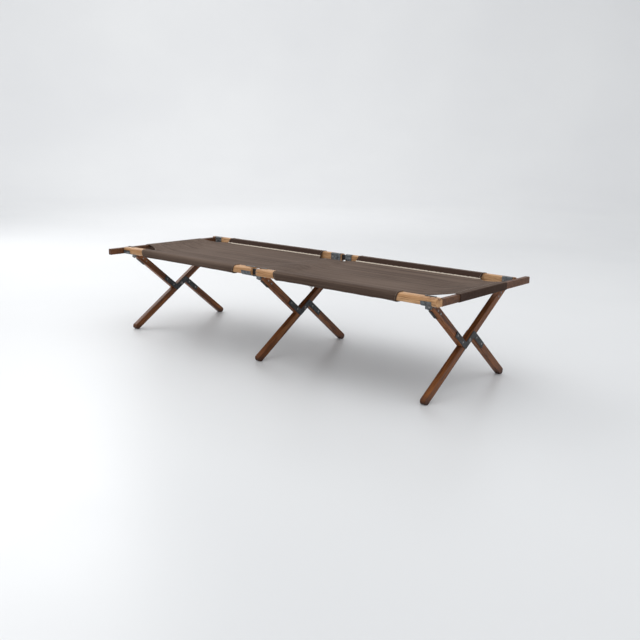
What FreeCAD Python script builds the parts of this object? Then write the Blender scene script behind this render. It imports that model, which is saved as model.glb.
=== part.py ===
import FreeCAD, Part
import math
import os
from FreeCAD import Vector

# A wood and canvas folding cot: two hinged side rails carried by three scissor leg frames,
# a canvas bed laced round the rails by sleeves, and a loose bar across each end.
# Millimetres. +X runs along the bed, +Y across it, +Z up. The origin is on the floor, at the middle.

os.makedirs("parts", exist_ok=True)

# Driving dimensions
BED_LENGTH = 1950.0
BED_WIDTH = 684.0
RAIL_TOP = 440.0
RAIL_WIDTH = 38.0
RAIL_DEPTH = 34.0
RAIL_INNER_RADIUS = 3.0
RAIL_OUTER_RADIUS = 13.0
END_EASING = 1.8
TIP_RADIUS = 12.0
END_FRAME_X = 915.0

LEG_WIDTH = 32.0
LEG_THICKNESS = 26.0
LEG_EDGE_RADIUS = 2.5
LEG_TOP_Y = 280.0
LEG_TOP_Z = 396.0
FOOT_Y = 300.0
FOOT_Z = 15.5
HALF_LEG_OFFSET = 35.0
HALF_LEG_EXTRA = 0.8
BUTT_GAP = 0.4

STEEL = 2.3
RUNNING_GAP = 0.3
PIN_CLEARANCE = 0.05
ZPLATE_THICKNESS = 3.0
ZPLATE_WIDTH = 26.0
ZPLATE_ARM = 104.0

HINGE_PITCH = 40.0
RAIL_GAP = 32.0
LINK_THICKNESS = 11.0
LINK_RADIUS = 12.0
LINK_PIN_RADIUS = 3.0

BAR_THICKNESS = 22.0
BAR_DEPTH = 30.0
BAR_OVERHANG_Y = 420.0
DOWEL_RADIUS = 6.0
DOWEL_LENGTH = 25.0

CANVAS = 1.5
CANVAS_GAP = 0.3
PANEL_THICKNESS = 2.0
PANEL_Z = 418.5
PANEL_INSET_AT_HINGE = 24.0
HEM_LOW_Y = -178.0
HEM_HIGH_Y = 205.0

# Worked out from the driving dimensions
RAIL_OUT = BED_WIDTH / 2
RAIL_IN = RAIL_OUT - RAIL_WIDTH
RAIL_MID = (RAIL_OUT + RAIL_IN) / 2
RAIL_BOTTOM = RAIL_TOP - RAIL_DEPTH
RAIL_AXIS_Z = RAIL_TOP - RAIL_DEPTH / 2
RAIL_END = BED_LENGTH / 2
BUTT_END = RAIL_END - BAR_THICKNESS - 0.5
LEG_RADIUS = LEG_WIDTH / 2
HALF_THICKNESS = LEG_THICKNESS + HALF_LEG_EXTRA
FRAMES = {"left": -END_FRAME_X, "mid": 0.0, "right": END_FRAME_X}
SIDES = {"near": -1, "far": 1}


def ease_end(shape, x=None, y=None):
    """Round over the edges of the end face that lies in the plane at x, or at y."""
    edges = []
    for edge in shape.Edges:
        box_of_edge = edge.BoundBox
        if x is not None and max(abs(box_of_edge.XMin - x), abs(box_of_edge.XMax - x)) < 0.01:
            edges.append(edge)
        if y is not None and max(abs(box_of_edge.YMin - y), abs(box_of_edge.YMax - y)) < 0.01:
            edges.append(edge)
    return shape.makeFillet(END_EASING, edges)


def save(name, shape):
    shape.exportStep("parts/" + name + ".step")


def box(x0, x1, y0, y1, z0, z1):
    low = Vector(min(x0, x1), min(y0, y1), min(z0, z1))
    return Part.makeBox(abs(x1 - x0), abs(y1 - y0), abs(z1 - z0), low)


def cylinder_y(x, z, radius, y0, y1):
    return Part.makeCylinder(radius, abs(y1 - y0), Vector(x, min(y0, y1), z), Vector(0, 1, 0))


def cylinder_x(y, z, radius, x0, x1):
    return Part.makeCylinder(radius, abs(x1 - x0), Vector(min(x0, x1), y, z), Vector(1, 0, 0))


def dome(centre, out, radius, height):
    """A rivet head: a low spherical cap standing on a face."""
    sphere_radius = (radius * radius + height * height) / (2 * height)
    sphere = Part.makeSphere(sphere_radius, centre + out * (height - sphere_radius))
    return sphere.common(Part.makeCylinder(radius * 1.2, height * 1.5, centre, out))


def rivet(start, end, radius, head_radius, head_height):
    """A shank from start to end with a dome outside each."""
    out = (end - start).normalize()
    shank = Part.makeCylinder(radius, (end - start).Length, start, out)
    return shank.fuse([
        dome(start, out * -1, head_radius, head_height),
        dome(end, out, head_radius, head_height),
    ]).removeSplitter()


def screw(x, side, face_y, z):
    """A slotted round-head wood screw through a plate on the inner face of a rail."""
    out = Vector(0, -side, 0)
    seat = Vector(x, side * face_y, z)
    shank = Part.makeCylinder(2.5, 20.0, seat - out * 20.0, out)
    slot = box(x - 0.5, x + 0.5, side * (face_y - 1.0), side * (face_y - 3.0), z - 5.0, z + 5.0)
    return shank.fuse(dome(seat, out, 4.5, 1.7)).cut(slot)


def rounded_profile(y0, y1, z0, z1, inner_radius, outer_radius, x):
    """A face in the plane at x: y0 is the inner side with small corners, y1 the outer side."""
    s = 1 if y1 > y0 else -1
    k = 1 - math.sqrt(0.5)
    ri = inner_radius
    ro = outer_radius

    def point(y, z):
        return Vector(x, y, z)

    edges = [
        Part.makeLine(point(y0 + s * ri, z0), point(y1 - s * ro, z0)),
        Part.Arc(point(y1 - s * ro, z0), point(y1 - s * ro * k, z0 + ro * k), point(y1, z0 + ro)).toShape(),
        Part.makeLine(point(y1, z0 + ro), point(y1, z1 - ro)),
        Part.Arc(point(y1, z1 - ro), point(y1 - s * ro * k, z1 - ro * k), point(y1 - s * ro, z1)).toShape(),
        Part.makeLine(point(y1 - s * ro, z1), point(y0 + s * ri, z1)),
        Part.Arc(point(y0 + s * ri, z1), point(y0 + s * ri * k, z1 - ri * k), point(y0, z1 - ri)).toShape(),
        Part.makeLine(point(y0, z1 - ri), point(y0, z0 + ri)),
        Part.Arc(point(y0, z0 + ri), point(y0 + s * ri * k, z0 + ri * k), point(y0 + s * ri, z0)).toShape(),
    ]
    return Part.Face(Part.Wire(edges))


def rail_body(side, x0, x1, grow=0.0):
    """The rail's D section, grown outwards by grow, from x0 to x1."""
    face = rounded_profile(
        side * (RAIL_IN - grow), side * (RAIL_OUT + grow), RAIL_BOTTOM - grow, RAIL_TOP + grow,
        RAIL_INNER_RADIUS + grow, RAIL_OUTER_RADIUS + grow, x0,
    )
    return face.extrude(Vector(x1 - x0, 0, 0))


def rail_wrap(side, x0, x1, inner, outer):
    """A skin round the rail, from inner to outer millimetres off the wood."""
    return rail_body(side, x0, x1, outer).cut(rail_body(side, x0 - 1, x1 + 1, inner))


def along(p, q):
    return (q - p).normalize()


def across(direction):
    """The direction turned a quarter turn in the YZ plane."""
    return Vector(0, -direction.z, direction.y)


def prism(points, x0, x1):
    wire = Part.makePolygon([Vector(x0, p.y, p.z) for p in points + points[:1]])
    return Part.Face(wire).extrude(Vector(x1 - x0, 0, 0))


def strip(p, q, width, x0, x1):
    """A square-ended strip in the YZ plane from p to q."""
    n = across(along(p, q)) * (width / 2)
    return prism([p + n, q + n, q - n, p - n], x0, x1)


def round_strip(p, q, width, x0, x1):
    ends = [cylinder_x(c.y, c.z, width / 2, x0, x1) for c in (p, q)]
    return strip(p, q, width, x0, x1).fuse(ends).removeSplitter()


def wooden_leg(p, q, thickness, x):
    """A leg from p to q with rounded ends about both points and eased long edges."""
    d = along(p, q)
    n = across(d)
    half_t = thickness / 2
    r = LEG_EDGE_RADIUS
    k = 1 - math.sqrt(0.5)
    start = p - d * (LEG_RADIUS + 5)
    corners = []
    for a, b in ((1, 1), (-1, 1), (-1, -1), (1, -1)):
        flat_a = (a * half_t, b * (LEG_RADIUS - r))
        middle = (a * (half_t - r * k), b * (LEG_RADIUS - r * k))
        flat_b = (a * (half_t - r), b * LEG_RADIUS)
        trio = [start + Vector(x + u, 0, 0) + n * v for u, v in (flat_a, middle, flat_b)]
        corners.append(trio if a == b else trio[::-1])
    edges = []
    for i, (first, middle, last) in enumerate(corners):
        edges.append(Part.Arc(first, middle, last).toShape())
        edges.append(Part.makeLine(last, corners[(i + 1) % 4][0]))
    section = Part.Face(Part.Wire(edges))
    bar = section.extrude(d * ((q - p).Length + 2 * LEG_RADIUS + 10))
    return bar.common(round_strip(p, q, LEG_WIDTH, x - half_t - 1, x + half_t + 1))


# Leg geometry in the YZ plane, the same for every frame
FOOT = {side: Vector(0, s * FOOT_Y, FOOT_Z) for side, s in SIDES.items()}
TOP = {side: Vector(0, s * LEG_TOP_Y, LEG_TOP_Z) for side, s in SIDES.items()}
THROUGH = along(FOOT["near"], TOP["far"])
CROSS_Z = FOOT_Z + FOOT_Y * THROUGH.z / THROUGH.y
CROSS = Vector(0, 0, CROSS_Z)


def half_leg_axis(end):
    """Direction from the crossing towards end, along a line that passes HALF_LEG_OFFSET beside it."""
    reach = end - CROSS
    slip = math.asin(HALF_LEG_OFFSET / reach.Length)
    straight = math.atan2(reach.z, reach.y)
    turned = straight - slip
    return Vector(0, math.cos(turned), math.sin(turned))


UPPER = half_leg_axis(TOP["near"])
LOWER = half_leg_axis(FOOT["far"])


def meet_through_leg(end, direction):
    """Where the half leg's axis meets the through leg's axis."""
    n = across(THROUGH)
    distance = (end - CROSS).dot(n) / direction.dot(n)
    return end - direction * distance


UPPER_MEET = meet_through_leg(TOP["near"], UPPER)
LOWER_MEET = meet_through_leg(FOOT["far"], LOWER)


def through_leg_zone(x, upper):
    """Everything on and beyond the through leg, so that a half leg butts on its side."""
    n = across(THROUGH) * (1 if upper else -1)
    near_edge = n * (LEG_RADIUS + BUTT_GAP)
    far_edge = n * -200
    a = CROSS - THROUGH * 400
    b = CROSS + THROUGH * 400
    return prism([a + near_edge, b + near_edge, b + far_edge, a + far_edge], x - 60, x + 60)


def floor_cut(shape, x):
    return shape.cut(box(x - 60, x + 60, -500, 500, -60, 0))


# Side rails, in two halves each
RAIL_SPAN = {
    ("near", "left"): (-BUTT_END, -RAIL_GAP / 2),
    ("near", "right"): (RAIL_GAP / 2, RAIL_END),
    ("far", "left"): (-RAIL_END, -RAIL_GAP / 2),
    ("far", "right"): (RAIL_GAP / 2, BUTT_END),
}
BAR_MID_X = RAIL_END - BAR_THICKNESS / 2
BAR_MID_Z = RAIL_BOTTOM - 1.0 + BAR_DEPTH / 2
HINGE_SLOT_END = HINGE_PITCH / 2 + LINK_RADIUS + 4
END_BRACKET_SCREWS = (-8.0, 24.0)
MID_BRACKET_SCREWS = (-66.0, -44.0)
HINGE_PLATE_SCREW = 44.0


def bracket_screw_places(side, half):
    """X of each wood screw on one rail half."""
    end = -1 if half == "left" else 1
    places = [end * (END_FRAME_X + dx) for dx in END_BRACKET_SCREWS]
    if half == "left":
        places += list(MID_BRACKET_SCREWS)
    else:
        places.append(HINGE_PLATE_SCREW)
    return places


def rail_screws(side, half):
    s = SIDES[side]
    return [screw(x, s, RAIL_IN - STEEL, RAIL_AXIS_Z) for x in bracket_screw_places(side, half)]


def round_plan(s, end, x0, x1):
    """A block over the whole rail whose outer corner at the free end is rounded, seen from above."""
    tip = end * RAIL_END
    block = box(x0, x1, s * (RAIL_IN - 5), s * (RAIL_OUT + 5), RAIL_BOTTOM - 5, RAIL_TOP + 5)
    corner = box(
        tip, tip - end * TIP_RADIUS, s * (RAIL_OUT - TIP_RADIUS), s * (RAIL_OUT + 5), RAIL_BOTTOM - 5, RAIL_TOP + 5
    )
    centre = Vector(tip - end * TIP_RADIUS, s * (RAIL_OUT - TIP_RADIUS), RAIL_BOTTOM - 5)
    return block.cut(corner.cut(Part.makeCylinder(TIP_RADIUS, RAIL_DEPTH + 10, centre)))


def make_rail(side, half):
    s = SIDES[side]
    x0, x1 = RAIL_SPAN[(side, half)]
    end = -1 if half == "left" else 1
    free_end = x0 if half == "left" else x1
    rail = rail_body(s, x0, x1)
    if abs(free_end) == RAIL_END:
        rail = rail.common(round_plan(s, end, x0, x1))
    rail = ease_end(rail, x=free_end)
    slot_half = LINK_THICKNESS / 2 + 0.5
    slot = box(
        0, end * HINGE_SLOT_END, s * (RAIL_MID - slot_half), s * (RAIL_MID + slot_half),
        RAIL_BOTTOM - 1, RAIL_TOP + 1,
    )
    pin_hole = cylinder_y(
        end * HINGE_PITCH / 2, RAIL_AXIS_Z, LINK_PIN_RADIUS + PIN_CLEARANCE, s * (RAIL_IN - 5), s * (RAIL_OUT + 5)
    )
    cutters = [slot, pin_hole]
    for x in bracket_screw_places(side, half):
        cutters.append(cylinder_y(x, RAIL_AXIS_Z, 2.5, s * (RAIL_IN - 5), s * (RAIL_IN + 20 - STEEL)))
    if (side, half) in (("near", "right"), ("far", "left")):
        cutters.append(cylinder_y(
            end * BAR_MID_X, BAR_MID_Z, DOWEL_RADIUS + PIN_CLEARANCE, s * (RAIL_IN - 5), s * (RAIL_IN + DOWEL_LENGTH + 2)
        ))
    for cutter in cutters:
        rail = rail.cut(cutter)
    save(side + "_" + half + "_rail", rail)


# Steel brackets, screwed to the rails, that carry the leg pivots
LUG_RADIUS = 14.0
STUD_RADIUS = 4.0
TOP_LIP = 10.0
OUTER_LIP = 19.0


def bracket_skin(s, x0, x1):
    """Steel bent round the rail: a lip over the inner top edge, the inner face, the underside, a lip up outside."""
    skin = rail_wrap(s, x0, x1, 0.0, STEEL)
    above = box(x0 - 1, x1 + 1, s * (RAIL_IN + TOP_LIP), s * (RAIL_OUT + 10), RAIL_BOTTOM + OUTER_LIP, RAIL_TOP + 10)
    return skin.cut(above)


def lug(s, x, x_low, x_high):
    """The flat tab that hangs below the rail and holds the leg stud."""
    y_in = s * (RAIL_IN - STEEL)
    y_out = s * RAIL_IN
    web = box(x_low, x_high, y_in, y_out, LEG_TOP_Z, RAIL_BOTTOM + 4)
    return web.fuse(cylinder_y(x, LEG_TOP_Z, LUG_RADIUS, y_in, y_out))


def make_bracket(side, place):
    s = SIDES[side]
    x = FRAMES[place]
    if place == "mid":
        skin = bracket_skin(s, -76, -RAIL_GAP / 2)
        hanging = lug(s, x, -40, LUG_RADIUS)
        hanging = hanging.cut(box(-RAIL_GAP / 2, 30, s * 200, s * RAIL_OUT, RAIL_BOTTOM - 1.5, RAIL_TOP))
        screw_places = MID_BRACKET_SCREWS
    else:
        end = -1 if place == "left" else 1
        low, high = sorted((x - end * 15, x + end * 34))
        skin = bracket_skin(s, low, high)
        hanging = lug(s, x, x - LUG_RADIUS, x + LUG_RADIUS)
        screw_places = [x + end * dx for dx in END_BRACKET_SCREWS]
    bracket = skin.fuse(hanging).removeSplitter()
    bracket = bracket.cut(cylinder_y(x, LEG_TOP_Z, STUD_RADIUS, s * (RAIL_IN - 10), s * (RAIL_IN + 10)))
    for sx in screw_places:
        bracket = bracket.cut(cylinder_y(sx, RAIL_AXIS_Z, 2.5, s * (RAIL_IN - 10), s * (RAIL_IN + 10)))
    save(side + "_" + place + "_bracket", bracket)


SWIVEL_STEEL = 2.5
STUD_HEAD_Y = RAIL_IN - STEEL - 2 * RUNNING_GAP - SWIVEL_STEEL


def leg_stud(s, x):
    """The riveted stud that the swivel turns on, headed on both sides."""
    outer = Vector(x, s * RAIL_IN, LEG_TOP_Z)
    inner = Vector(x, s * STUD_HEAD_Y, LEG_TOP_Z)
    shank = cylinder_y(x, LEG_TOP_Z, STUD_RADIUS, inner.y, outer.y)
    heads = [dome(outer, Vector(0, s, 0), 6.5, 2.0), dome(inner, Vector(0, -s, 0), 6.0, 1.2)]
    return shank.fuse(heads).removeSplitter()


def make_rail_fasteners(side, half):
    s = SIDES[side]
    pieces = rail_screws(side, half)
    pieces.append(leg_stud(s, FRAMES[half]))
    if half == "left":
        pieces.append(leg_stud(s, 0.0))
    save(side + "_" + half + "_rail_screws", Part.makeCompound(pieces))


def make_hinge_plate(side):
    """An angle plate over the inner top edge of the right rail half, beside the hinge gap."""
    s = SIDES[side]
    skin = rail_wrap(s, RAIL_GAP / 2 + 2, 56, 0.0, STEEL)
    skin = skin.common(box(0, 60, s * (RAIL_IN - 10), s * (RAIL_IN + 12), RAIL_BOTTOM + 4, RAIL_TOP + 10))
    skin = skin.cut(cylinder_y(HINGE_PLATE_SCREW, RAIL_AXIS_Z, 2.5, s * (RAIL_IN - 10), s * (RAIL_IN + 10)))
    save(side + "_hinge_plate", skin)


def make_link(side):
    """The two-pivot steel link that joins the halves of a rail."""
    s = SIDES[side]
    y0 = s * (RAIL_MID - LINK_THICKNESS / 2)
    y1 = s * (RAIL_MID + LINK_THICKNESS / 2)
    half = HINGE_PITCH / 2
    body = box(-half, half, y0, y1, RAIL_AXIS_Z - LINK_RADIUS, RAIL_AXIS_Z + LINK_RADIUS)
    body = body.fuse([cylinder_y(x, RAIL_AXIS_Z, LINK_RADIUS, y0, y1) for x in (-half, half)]).removeSplitter()
    pins = []
    for x in (-half, half):
        body = body.cut(cylinder_y(x, RAIL_AXIS_Z, LINK_PIN_RADIUS, y0, y1))
        pins.append(cylinder_y(x, RAIL_AXIS_Z, LINK_PIN_RADIUS, s * (RAIL_IN + 0.5), s * (RAIL_OUT - 0.5)))
    save(side + "_rail_link", body)
    save(side + "_link_pins", Part.makeCompound(pins))


# Leg frames
TAB_OUT = HALF_THICKNESS / 2 + SWIVEL_STEEL + 0.7 + SWIVEL_STEEL
STRAP_LENGTH = 70.0
STRAP_WIDTH = 20.0
STRAP_STEEL = 2.5
STRAP_LIP = 13.0
STRAP_RIVETS = (32.0, 58.0)
TOP_RIVET_RADIUS = 3.5
SWIVEL_RADIUS = 12.0


def make_swivel(side, place):
    """A steel angle: one leaf turns on the bracket's stud, the other holds the leg's top rivet."""
    s = SIDES[side]
    x = FRAMES[place]
    y_out = s * (RAIL_IN - STEEL - RUNNING_GAP)
    y_in = s * (RAIL_IN - STEEL - RUNNING_GAP - SWIVEL_STEEL)
    low = LEG_TOP_Z - SWIVEL_RADIUS
    high = LEG_TOP_Z + SWIVEL_RADIUS
    leaf = box(x - TAB_OUT, x, y_in, y_out, low, high)
    leaf = leaf.fuse(cylinder_y(x, LEG_TOP_Z, SWIVEL_RADIUS, y_in, y_out))
    tab = box(x - TAB_OUT, x - TAB_OUT + SWIVEL_STEEL, s * LEG_TOP_Y, y_out, low, high)
    tab = tab.fuse(cylinder_x(s * LEG_TOP_Y, LEG_TOP_Z, SWIVEL_RADIUS, x - TAB_OUT, x - TAB_OUT + SWIVEL_STEEL))
    swivel = leaf.fuse(tab).removeSplitter()
    swivel = swivel.cut(cylinder_y(x, LEG_TOP_Z, STUD_RADIUS + PIN_CLEARANCE, y_in - 9 * s, y_out + 9 * s))
    hole = TOP_RIVET_RADIUS + PIN_CLEARANCE
    swivel = swivel.cut(cylinder_x(s * LEG_TOP_Y, LEG_TOP_Z, hole, x - TAB_OUT - 5, x - TAB_OUT + 5))
    save(place + "_" + side + "_swivel", swivel)


def strap_points(top, direction):
    return [top + direction * t for t in STRAP_RIVETS]


def make_strap(place, side, thickness, direction, name):
    """The steel strap on a leg's top: flat on its -X face, with a lip round its lower edge."""
    x = FRAMES[place]
    top = TOP[side]
    face = x - thickness / 2
    end = top + direction * STRAP_LENGTH
    flat = round_strip(top, end, STRAP_WIDTH, face - STRAP_STEEL, face)
    down = across(direction)
    down = down if down.z < 0 else down * -1
    a = top + direction * 14
    b = top + direction * STRAP_LENGTH
    lip = prism(
        [a + down * LEG_RADIUS, b + down * LEG_RADIUS,
         b + down * (LEG_RADIUS + STRAP_STEEL), a + down * (LEG_RADIUS + STRAP_STEEL)],
        face - STRAP_STEEL, face + STRAP_LIP,
    )
    bend = prism(
        [a + down * 5, b + down * 5, b + down * (LEG_RADIUS + STRAP_STEEL), a + down * (LEG_RADIUS + STRAP_STEEL)],
        face - STRAP_STEEL, face,
    )
    strap = flat.fuse([lip, bend]).removeSplitter()
    strap = strap.cut(cylinder_x(top.y, top.z, TOP_RIVET_RADIUS, face - 9, face + 9))
    for p in strap_points(top, direction):
        strap = strap.cut(cylinder_x(p.y, p.z, 2.5, face - 9, face + 9))
    save(name, strap)


def top_rivets(x, thickness, top, direction):
    """The rivet that the leg hangs on, and the two that hold its strap."""
    plus = x + thickness / 2
    minus = x - thickness / 2
    head_face = x - TAB_OUT - 0.2
    pieces = [rivet(Vector(head_face, top.y, top.z), Vector(plus, top.y, top.z), TOP_RIVET_RADIUS, 6.5, 1.8)]
    for p in strap_points(top, direction):
        start = Vector(minus - STRAP_STEEL, p.y, p.z)
        pieces.append(rivet(start, Vector(plus, p.y, p.z), 2.5, 4.5, 1.4))
    return pieces


def drill(shape, x, points, radius):
    for p in points:
        shape = shape.cut(cylinder_x(p.y, p.z, radius, x - 40, x + 40))
    return shape


ARM_RIVETS = (32.0, 88.0)


def arm_rivet_points():
    upper = [UPPER_MEET + UPPER * t for t in ARM_RIVETS]
    lower = [LOWER_MEET + LOWER * t for t in ARM_RIVETS]
    return upper + lower


def make_split_leg(place):
    x = FRAMES[place]
    down_from_top = UPPER * -1
    upper = wooden_leg(TOP["near"], UPPER_MEET, HALF_THICKNESS, x).cut(through_leg_zone(x, True))
    lower = wooden_leg(FOOT["far"], LOWER_MEET, HALF_THICKNESS, x).cut(through_leg_zone(x, False))
    upper = drill(upper, x, [TOP["near"]], TOP_RIVET_RADIUS)
    upper = drill(upper, x, strap_points(TOP["near"], down_from_top) + arm_rivet_points(), 2.5)
    lower = floor_cut(drill(lower, x, arm_rivet_points(), 2.5), x)
    save(place + "_split_leg_upper", upper)
    save(place + "_split_leg_lower", lower)
    make_strap(place, "near", HALF_THICKNESS, down_from_top, place + "_split_leg_strap")

    plates = []
    inner = HALF_THICKNESS / 2
    outer = inner + ZPLATE_THICKNESS
    for x0, x1 in ((x + inner, x + outer), (x - outer, x - inner)):
        parts = [
            strip(UPPER_MEET, UPPER_MEET + UPPER * ZPLATE_ARM, ZPLATE_WIDTH, x0, x1),
            strip(LOWER_MEET, LOWER_MEET + LOWER * ZPLATE_ARM, ZPLATE_WIDTH, x0, x1),
            round_strip(UPPER_MEET, LOWER_MEET, ZPLATE_WIDTH, x0, x1),
        ]
        plate = parts[0].fuse(parts[1:]).removeSplitter()
        plate = drill(plate, x, [CROSS], STUD_RADIUS)
        plates.append(drill(plate, x, arm_rivet_points(), 2.5))
    save(place + "_cross_plates", Part.makeCompound(plates))

    rivets = top_rivets(x, HALF_THICKNESS, TOP["near"], down_from_top)
    rivets.append(rivet(
        Vector(x - outer, 0, CROSS_Z), Vector(x + outer, 0, CROSS_Z), STUD_RADIUS, 8.0, 2.2
    ))
    for p in arm_rivet_points():
        rivets.append(rivet(Vector(x - outer, p.y, p.z), Vector(x + outer, p.y, p.z), 2.5, 4.5, 1.5))
    save(place + "_split_leg_rivets", Part.makeCompound(rivets))


def make_through_leg(place):
    x = FRAMES[place]
    down = THROUGH * -1
    leg = wooden_leg(FOOT["near"], TOP["far"], LEG_THICKNESS, x)
    leg = drill(leg, x, [TOP["far"]], TOP_RIVET_RADIUS)
    leg = drill(leg, x, strap_points(TOP["far"], down), 2.5)
    leg = floor_cut(drill(leg, x, [CROSS], STUD_RADIUS + PIN_CLEARANCE), x)
    save(place + "_through_leg", leg)
    make_strap(place, "far", LEG_THICKNESS, down, place + "_through_leg_strap")
    rivets = top_rivets(x, LEG_THICKNESS, TOP["far"], down)
    save(place + "_through_leg_rivets", Part.makeCompound(rivets))


# End bars: each has a dowel into one rail's inner face and bears on the other rail's end
def make_end_bar(name, end):
    x0 = end * (RAIL_END - BAR_THICKNESS)
    x1 = end * RAIL_END
    root = -end * (RAIL_IN - RUNNING_GAP)
    z0 = BAR_MID_Z - BAR_DEPTH / 2
    bar = box(x0, x1, root, end * BAR_OVERHANG_Y, z0, z0 + BAR_DEPTH)
    long_edges = [e for e in bar.Edges if abs(e.tangentAt(e.FirstParameter).y) > 0.9]
    bar = ease_end(bar.makeFillet(2.5, long_edges), y=end * BAR_OVERHANG_Y)
    dowel = cylinder_y(end * BAR_MID_X, BAR_MID_Z, DOWEL_RADIUS, root, -end * (RAIL_IN + DOWEL_LENGTH))
    save(name, bar.fuse(dowel))


# Canvas
SLEEVE_SPAN = {
    ("near", "left"): (-801.0, -125.0),
    ("near", "right"): (122.0, 793.0),
    ("far", "left"): (-824.0, -134.0),
    ("far", "right"): (100.0, 804.0),
}
SEAM_Y = RAIL_IN - CANVAS - CANVAS_GAP


def make_sleeve(side, half):
    x0, x1 = SLEEVE_SPAN[(side, half)]
    sleeve = rail_wrap(SIDES[side], x0, x1, CANVAS_GAP, CANVAS_GAP + CANVAS)
    save(side + "_" + half + "_canvas_sleeve", sleeve)


def make_panel(half):
    """One half of the canvas bed, with the hem that holds the end bar."""
    end = -1 if half == "left" else 1
    near0, near1 = sorted(SLEEVE_SPAN[("near", half)], key=abs)
    far0, far1 = sorted(SLEEVE_SPAN[("far", half)], key=abs)
    hinge_x = end * (HINGE_PITCH / 2 + 0.15)
    hem_x = end * (RAIL_END - BAR_THICKNESS - 1.8)
    inset_y = SEAM_Y - PANEL_INSET_AT_HINGE
    outline = [
        (hinge_x, -inset_y), (near0 - end * 30, -inset_y), (near0, -SEAM_Y), (near1, -SEAM_Y),
        (near1 + end * 40, -SEAM_Y + 45), (hem_x, HEM_LOW_Y),
        (hem_x, HEM_HIGH_Y), (far1 + end * 40, SEAM_Y - 45), (far1, SEAM_Y - 0.4), (far0, SEAM_Y - 0.4),
        (far0 - end * 30, inset_y), (hinge_x, inset_y),
    ]
    points = [Vector(x, y, PANEL_Z) for x, y in outline]
    sheet = Part.Face(Part.makePolygon(points + points[:1])).extrude(Vector(0, 0, PANEL_THICKNESS))
    gap = 0.5
    wall = 1.3
    x0 = end * (RAIL_END - BAR_THICKNESS - gap)
    x1 = end * (RAIL_END + gap)
    z0 = BAR_MID_Z - BAR_DEPTH / 2 - gap
    z1 = BAR_MID_Z + BAR_DEPTH / 2 + gap
    hem = box(x0 - end * wall, x1 + end * wall, HEM_LOW_Y, HEM_HIGH_Y, z0 - wall, z1 + wall)
    hem = hem.cut(box(x0, x1, HEM_LOW_Y - 1, HEM_HIGH_Y + 1, z0, z1))
    save(half + "_canvas_panel", sheet.fuse(hem).removeSplitter())


def make_middle_panel():
    inset_y = SEAM_Y - PANEL_INSET_AT_HINGE
    half = HINGE_PITCH / 2 - 0.15
    save("middle_canvas_panel", box(-half, half, -inset_y, inset_y, PANEL_Z, PANEL_Z + PANEL_THICKNESS))


for side in SIDES:
    for half in ("left", "right"):
        make_rail(side, half)
        make_rail_fasteners(side, half)
        make_sleeve(side, half)
    for place in FRAMES:
        make_bracket(side, place)
        make_swivel(side, place)
    make_hinge_plate(side)
    make_link(side)
for place in FRAMES:
    make_split_leg(place)
    make_through_leg(place)
make_end_bar("right_end_bar", 1)
make_end_bar("left_end_bar", -1)
make_panel("left")
make_panel("right")
make_middle_panel()
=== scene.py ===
import bmesh
import bpy
import math
from mathutils import Matrix, Vector, noise


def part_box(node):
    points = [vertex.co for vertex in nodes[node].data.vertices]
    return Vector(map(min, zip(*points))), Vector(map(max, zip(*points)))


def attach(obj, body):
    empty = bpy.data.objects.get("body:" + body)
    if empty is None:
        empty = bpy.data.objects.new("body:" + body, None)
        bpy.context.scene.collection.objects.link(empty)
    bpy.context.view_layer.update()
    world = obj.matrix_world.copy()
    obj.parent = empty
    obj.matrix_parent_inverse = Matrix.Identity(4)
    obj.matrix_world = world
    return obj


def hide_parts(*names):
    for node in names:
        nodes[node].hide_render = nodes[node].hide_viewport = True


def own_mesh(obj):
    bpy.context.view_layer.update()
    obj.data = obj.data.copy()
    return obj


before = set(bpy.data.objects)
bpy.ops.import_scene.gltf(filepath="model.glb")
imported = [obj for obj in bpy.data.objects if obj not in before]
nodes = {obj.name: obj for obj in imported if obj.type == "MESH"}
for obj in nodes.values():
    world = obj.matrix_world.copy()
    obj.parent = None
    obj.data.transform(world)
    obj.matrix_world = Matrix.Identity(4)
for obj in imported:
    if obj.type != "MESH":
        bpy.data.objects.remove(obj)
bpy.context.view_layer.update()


# ---------------------------------------------------------------- Camera, floor and light
# The cot stands on a plain pale floor that curves up into a pale wall. One wide soft light stands high on the
# left, a weaker one hangs overhead and a third washes the wall. The camera looks down a little across the
# near right corner.
CAMERA_AT = Vector((2.5994, -2.9554, 1.0474))
CAMERA_TURN = math.radians(-40.09)
CAMERA_TILT = math.radians(-12.87)
CAMERA_ROLL = 0.0193
CAMERA_LENS = 46.4

look = Vector((
    math.sin(CAMERA_TURN) * math.cos(CAMERA_TILT),
    math.cos(CAMERA_TURN) * math.cos(CAMERA_TILT),
    math.sin(CAMERA_TILT),
))
level = Vector((math.cos(CAMERA_TURN), -math.sin(CAMERA_TURN), 0))
upright = level.cross(look)
right = level * math.cos(CAMERA_ROLL) + upright * math.sin(CAMERA_ROLL)
upright = right.cross(look)
camera = bpy.data.objects.new("camera", bpy.data.cameras.new("camera"))
camera.data.lens = CAMERA_LENS
camera.data.sensor_width = 36
camera.matrix_world = Matrix.Translation(CAMERA_AT) @ Matrix((right, upright, -look)).transposed().to_4x4()
bpy.context.scene.collection.objects.link(camera)
bpy.context.scene.camera = camera
bpy.context.scene.view_settings.view_transform = "Standard"


def new_piece(name, shape, finish):
    """Turn a finished bmesh into an object at the origin, smooth shaded, in one finish."""
    mesh = bpy.data.meshes.new(name)
    shape.to_mesh(mesh)
    shape.free()
    mesh.materials.append(finish)
    mesh.polygons.foreach_set("use_smooth", [True] * len(mesh.polygons))
    piece = bpy.data.objects.new(name, mesh)
    bpy.context.scene.collection.objects.link(piece)
    return piece


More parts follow.
